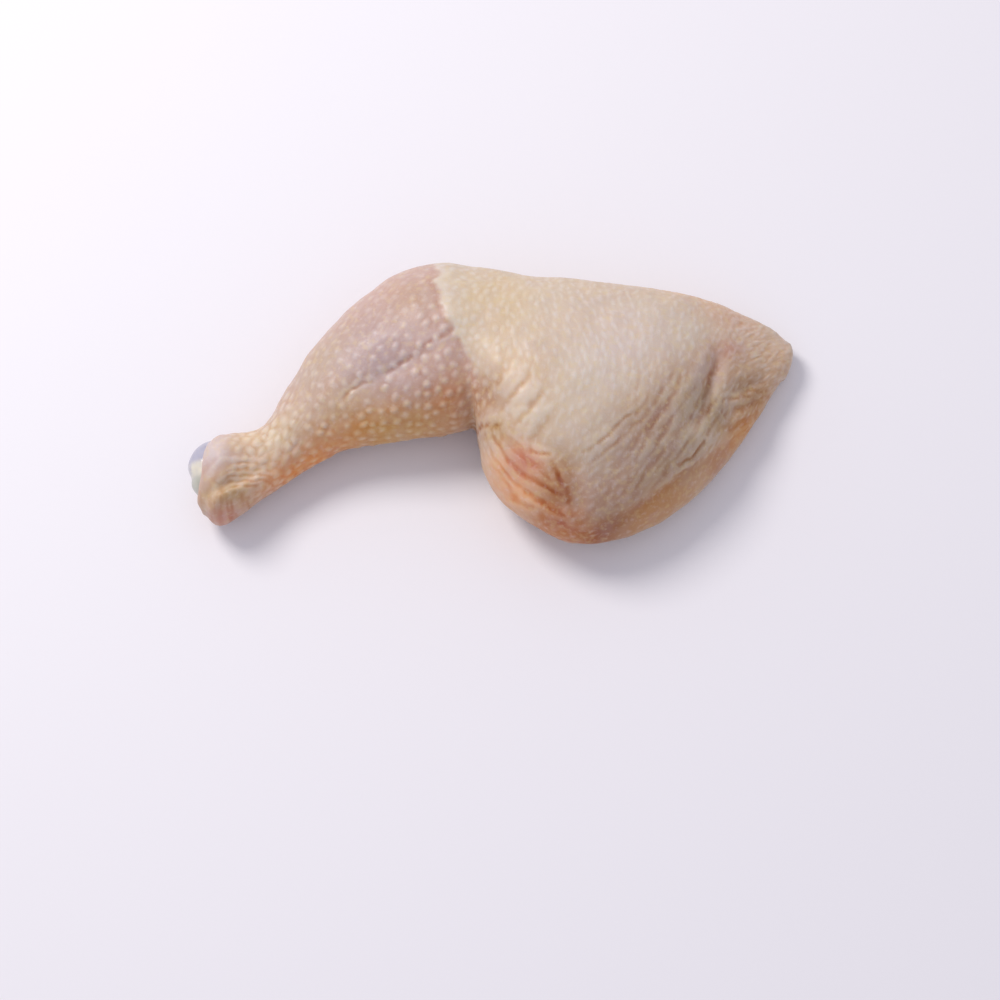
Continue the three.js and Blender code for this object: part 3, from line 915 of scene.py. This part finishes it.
def gristle_form(around, along):
    """The gristle cap as a grid: an ellipsoid whose front is sunk by a groove of depth GROOVE * e^-a^2, where
    a is the distance from the groove's middle in units of its half width. Returns it with its two poles."""
    tilt = np.linspace(-np.pi / 2, np.pi / 2, along + 1)[1:-1, None]
    turn = np.arange(around)[None, :] * 2 * np.pi / around
    n = np.stack((-np.cos(tilt) * np.cos(turn), np.cos(tilt) * np.sin(turn), np.sin(tilt) + 0 * turn), 2)
    across = (GRISTLE_RADII[1] * n[..., 1] - GROOVE_AT) / GROOVE_HALF
    sunk = GROOVE * np.exp(-across * across) * np.maximum(0, -n[..., 0])
    points = GRISTLE_CENTRE + GRISTLE_RADII * n
    points[..., 0] -= sunk * n[..., 0]
    poles = GRISTLE_CENTRE + GRISTLE_RADII[2] * np.array(((0, 0, -1), (0, 0, 1)))
    return points, poles


def gristle_tones(settings, points):
    """Colour of each vertex, linear: the upper rim's colour turns into the lower one's past the groove, and a
    patch of sinew lies between them behind the front rim, all with a faint cloudiness."""
    across = points[..., 1] - GRISTLE_CENTRE[1]
    low = smooth(0, -5, across)[..., None]
    tone = mixed(settings.upper, settings.lower, low)
    behind = 0.4 + 0.6 * smooth(1, 2.2, points[..., 0] - GRISTLE_CENTRE[0] + GRISTLE_RADII[0])
    cloudy = 0.85 + 0.15 * noise(points, 1.5, SEED + 61)
    patch = (np.exp(-(((across + 1) / 2.6) ** 4)) * behind * cloudy)[..., None]
    return mixed(tone, settings.sinew, patch) * (1 + 0.08 * noise(points, 2.5, SEED + 62)[..., None])


def gristle_material():
    """Wet hyaline gristle: glassy and slightly see-through, with a smooth wet film that gives it one long
    clear highlight beside the skin's many small ones."""
    material, tree = new_material("hyaline gristle, wet")
    add_shader(tree, {
        "Base Color": add_node(tree, "ShaderNodeAttribute", attribute_name="tone").outputs["Color"],
        "Normal": add_bump(tree, add_noise(tree, 3, 3.0), 0.3, 0.4),
        "Roughness": 0.28,
        "IOR": 1.4,
        "Subsurface Weight": 0.35,
        "Subsurface Radius": (0.7, 0.8, 1.0),
        "Subsurface Scale": 1.5 * MM,
        "Coat Weight": 0.4,
        "Coat Roughness": 0.12,
    })
    return material


def floor_material(colour):
    """Matt painted board: even and pale, so that the leg's own colours show, with a faint mottle."""
    material, tree = new_material("matt painted board")
    add_shader(tree, {
        "Base Color": colour4(colour),
        "Roughness": add_range(tree, add_noise(tree, 60), (0.0, 1.0), (0.6, 0.75)),
        "Specular IOR Level": 0.2,
    })
    return material


def add_object(name, data):
    """Adds an object with that data to the scene."""
    added = bpy.data.objects.new(name, data)
    bpy.context.scene.collection.objects.link(added)
    return added


def add_piece(name, mesh, material, node):
    """Adds a piece at the origin that rides on the leg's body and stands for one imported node."""
    piece = add_object(name, mesh)
    mesh.materials.append(material)
    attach(piece, "root")
    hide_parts(node)


class BuildSkin(bpy.types.Operator):
    """Builds the skin over the meat"""

    bl_idname = "mesh.leg_skin"
    bl_label = "Build Skin"

    def execute(self, context):
        settings = context.scene.leg_skin
        grid = (settings.rows, settings.upper_columns, settings.under_columns, CAP_ROWS)
        points, above, poles = skin_form(*grid)
        normals = grid_normals(points)
        zones = skin_zones(points)
        height, bells, streaks = skin_detail(settings, points, normals, above, zones)
        # The relief less its blurred mean marks the hollows, which get painted shade in the colours.
        tones = skin_tones(settings, points, zones, bells, streaks, height - blurred(height, 2))
        height = height + skin_waves(settings, points) + cuff(points)
        points = points + normals * height[..., None]
        points[..., 2] = np.maximum(points[..., 2], 0)
        mesh = closed_mesh("leg_skin", points, poles)
        add_tones(mesh, tones)
        add_piece("leg_skin", mesh, skin_material(), "leg")
        return {"FINISHED"}


class BuildGristle(bpy.types.Operator):
    """Builds the gristle cap at the hock"""

    bl_idname = "mesh.leg_gristle"
    bl_label = "Build Gristle"

    def execute(self, context):
        points, poles = gristle_form(*GRISTLE_GRID)
        waves = GRISTLE_UNEVENNESS * noise(points, 3.5, SEED + 60)[..., None]
        points = points + grid_normals(points) * waves
        mesh = closed_mesh("leg_gristle", points, poles)
        add_tones(mesh, gristle_tones(context.scene.leg_gristle, points))
        add_piece("leg_gristle", mesh, gristle_material(), "hock_gristle")
        return {"FINISHED"}


class BuildStage(bpy.types.Operator):
    """Builds the floor, the lights and the camera"""

    bl_idname = "scene.leg_stage"
    bl_label = "Build Stage"

    def execute(self, context):
        settings = context.scene.leg_stage
        scene = context.scene
        signs = ((-1, -1), (1, -1), (1, 1), (-1, 1))
        corners = [(i * FLOOR_HALF, j * FLOOR_HALF, FLOOR_Z) for i, j in signs]
        mesh = bpy.data.meshes.new("floor")
        mesh.from_pydata(corners, [], [(0, 1, 2, 3)])
        mesh.materials.append(floor_material(settings.floor))
        add_object("floor", mesh)
        tilt = settings.elevation
        back = Vector((0, -math.cos(tilt), math.sin(tilt)))
        data = bpy.data.cameras.new("camera")
        data.sensor_width = SENSOR_WIDTH
        data.lens = SENSOR_WIDTH * settings.distance / (PICTURE_WIDTH * settings.pixel)
        camera = add_object("camera", data)
        camera.location = VIEW_TARGET + back * settings.distance
        camera.rotation_euler = (math.pi / 2 - tilt, 0, 0)
        scene.camera = camera
        lamp = bpy.data.lights.new("soft key", "AREA")
        lamp.shape = "DISK"
        lamp.size = LAMP_SIZE
        lamp.energy = settings.key_power
        lamp.color = linear(LAMP_COLOUR)
        key = add_object("soft key", lamp)
        key.location = LAMP_PLACE
        key.rotation_euler = (Vector(LAMP_TARGET) - key.location).to_track_quat("-Z", "Y").to_euler()
        world = bpy.data.worlds.new("studio")
        world.use_nodes = True
        background = world.node_tree.nodes["Background"]
        background.inputs["Color"].default_value = colour4(linear(SKY_COLOUR))
        background.inputs["Strength"].default_value = settings.sky
        scene.world = world
        scene.view_settings.view_transform = "Standard"
        return {"FINISHED"}


class LegPanel(bpy.types.Panel):
    """Lists the settings and the pieces of the leg"""

    bl_idname = "VIEW3D_PT_chicken_leg"
    bl_label = "Chicken Leg"
    bl_space_type = "VIEW_3D"
    bl_region_type = "UI"
    bl_category = "Chicken Leg"

    def draw(self, context):
        for group, operator in zip(GROUPS, OPERATORS):
            box = self.layout.box()
            settings = getattr(context.scene, group)
            for name in settings.__annotations__:
                box.prop(settings, name)
            box.operator(operator.bl_idname)


GROUPS = {"leg_skin": SkinSettings, "leg_gristle": GristleSettings, "leg_stage": StageSettings}
OPERATORS = (BuildSkin, BuildGristle, BuildStage)
CLASSES = (*GROUPS.values(), *OPERATORS, LegPanel)


def register():
    """Registers the classes and gives each scene the groups of settings."""
    for cls in CLASSES:
        bpy.utils.register_class(cls)
    for name, group in GROUPS.items():
        setattr(bpy.types.Scene, name, PointerProperty(type=group))


def unregister():
    """Takes the settings and the classes away again."""
    for name in GROUPS:
        delattr(bpy.types.Scene, name)
    for cls in reversed(CLASSES):
        bpy.utils.unregister_class(cls)


def main():
    """Builds the stage and the pieces."""
    register()
    bpy.ops.scene.leg_stage()
    bpy.ops.mesh.leg_skin()
    bpy.ops.mesh.leg_gristle()


if __name__ == "__main__":
    main()
